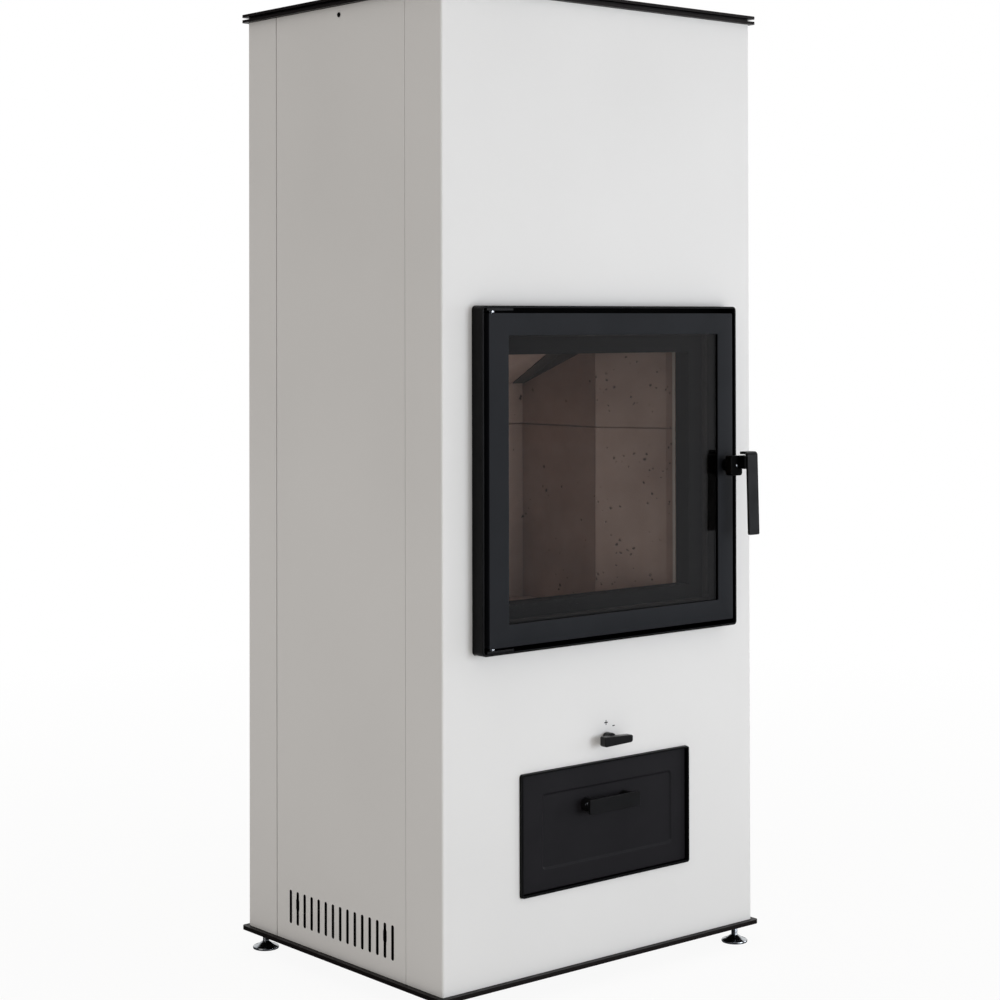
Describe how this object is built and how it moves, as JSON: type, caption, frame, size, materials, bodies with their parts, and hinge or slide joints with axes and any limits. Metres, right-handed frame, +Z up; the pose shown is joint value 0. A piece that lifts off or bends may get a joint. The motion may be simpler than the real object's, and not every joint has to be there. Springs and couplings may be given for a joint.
{
  "type": "wood stove",
  "caption": "Tall free-standing wood stove: white sheet-steel casing with black plates, a glazed fire door with a lever latch, an ash drawer, a small air knob and levelling feet.",
  "frame": {"origin": "centre of the bounding box at the floor, under the stove's feet", "axes": "+Z up, the fire door faces -Y, +X to the right seen from the front"},
  "size_m": [0.616, 0.5614, 1.452],
  "materials": {
    "white_panels": "satin",
    "black_steel": "satin",
    "door_steel": "satin",
    "raw_steel": "matte",
    "bright_steel": "polished",
    "cast_iron": "matte",
    "refractory": "matte",
    "storing_stone": "matte",
    "rope": "matte",
    "glass": "polished"
  },
  "bodies": {
    "stove": {"base_plate": "black_steel", "pedestal": "raw_steel", "front_frame": "raw_steel", "drawer_surround": "black_steel", "drawer_rail_left": "raw_steel", "drawer_rail_right": "raw_steel", "ash_chute": "raw_steel", "shell_wrap": "raw_steel", "shell_floor": "raw_steel", "shell_top": "raw_steel", "door_frame": "black_steel", "hearth_block": "refractory", "sill_block": "refractory", "grate": "cast_iron", "back_block_lower": "refractory", "back_block_upper": "refractory", "side_block_left_lower": "refractory", "side_block_left_upper": "refractory", "cheek_block_left": "refractory", "side_block_right_lower": "refractory", "side_block_right_upper": "refractory", "cheek_block_right": "refractory", "baffle_plate": "refractory", "flue_pipe": "black_steel", "storing_stone_1": "storing_stone", "storing_stone_2": "storing_stone", "storing_stone_3": "storing_stone", "air_spigot": "black_steel", "front_casing": "white_panels", "rear_casing": "white_panels", "side_panel_left": "white_panels", "side_panel_right": "white_panels", "side_panel_screw_left": "black_steel", "side_panel_screw_right": "black_steel", "top_plate_lower": "black_steel", "top_spacer": "black_steel", "top_plate_upper": "black_steel", "door_surround": "black_steel", "hinge_bracket_top": "black_steel", "hinge_bracket_bottom": "black_steel", "latch_keeper": "raw_steel"},
    "fire_door": {"door_leaf": "door_steel", "glass_seal": "rope", "door_glass": "glass", "glass_retainer": "black_steel", "rope_seal": "rope"},
    "door_latch": {"latch_shaft": "raw_steel", "handle_hub": "black_steel", "handle_grip": "black_steel", "handle_screw": "bright_steel"},
    "ash_drawer": {"drawer_front": "door_steel", "drawer_tray": "raw_steel", "drawer_handle": "black_steel", "drawer_handle_screw": "bright_steel"},
    "air_control": {"air_knob": "black_steel", "register_disc": "raw_steel"},
    "foot_front_left": {"levelling_foot_front_left": "bright_steel"},
    "foot_front_right": {"levelling_foot_front_right": "bright_steel"},
    "foot_rear_left": {"levelling_foot_rear_left": "bright_steel"},
    "foot_rear_right": {"levelling_foot_rear_right": "bright_steel"}
  },
  "joints": [
    {"name": "door_hinge", "type": "hinge", "parent": "stove", "child": "fire_door", "pos_m": [-0.226, -0.2313, 0.498], "axis": [0, 0, -1], "range_deg": [0, 110]},
    {"name": "latch_turn", "type": "hinge", "parent": "fire_door", "child": "door_latch", "pos_m": [0.224, -0.2173, 0.7283], "axis": [0, -1, 0], "range_deg": [0, 75]},
    {"name": "ash_drawer_slide", "type": "slide", "parent": "stove", "child": "ash_drawer", "axis": [0, -1, 0], "range_m": [0, 0.25]},
    {"name": "air_control_turn", "type": "hinge", "parent": "stove", "child": "air_control", "pos_m": [0, -0.2173, 0.346], "axis": [0, 1, 0], "range_deg": [0, 45]},
    {"name": "foot_front_left_turn", "type": "hinge", "parent": "stove", "child": "foot_front_left", "pos_m": [-0.2807, -0.2003, 0], "axis": [0, 0, 1], "continuous": true},
    {"name": "foot_front_right_turn", "type": "hinge", "parent": "stove", "child": "foot_front_right", "pos_m": [0.2807, -0.2003, 0], "axis": [0, 0, 1], "continuous": true},
    {"name": "foot_rear_left_turn", "type": "hinge", "parent": "stove", "child": "foot_rear_left", "pos_m": [-0.2807, 0.2337, 0], "axis": [0, 0, 1], "continuous": true},
    {"name": "foot_rear_right_turn", "type": "hinge", "parent": "stove", "child": "foot_rear_right", "pos_m": [0.2807, 0.2337, 0], "axis": [0, 0, 1], "continuous": true}
  ]
}
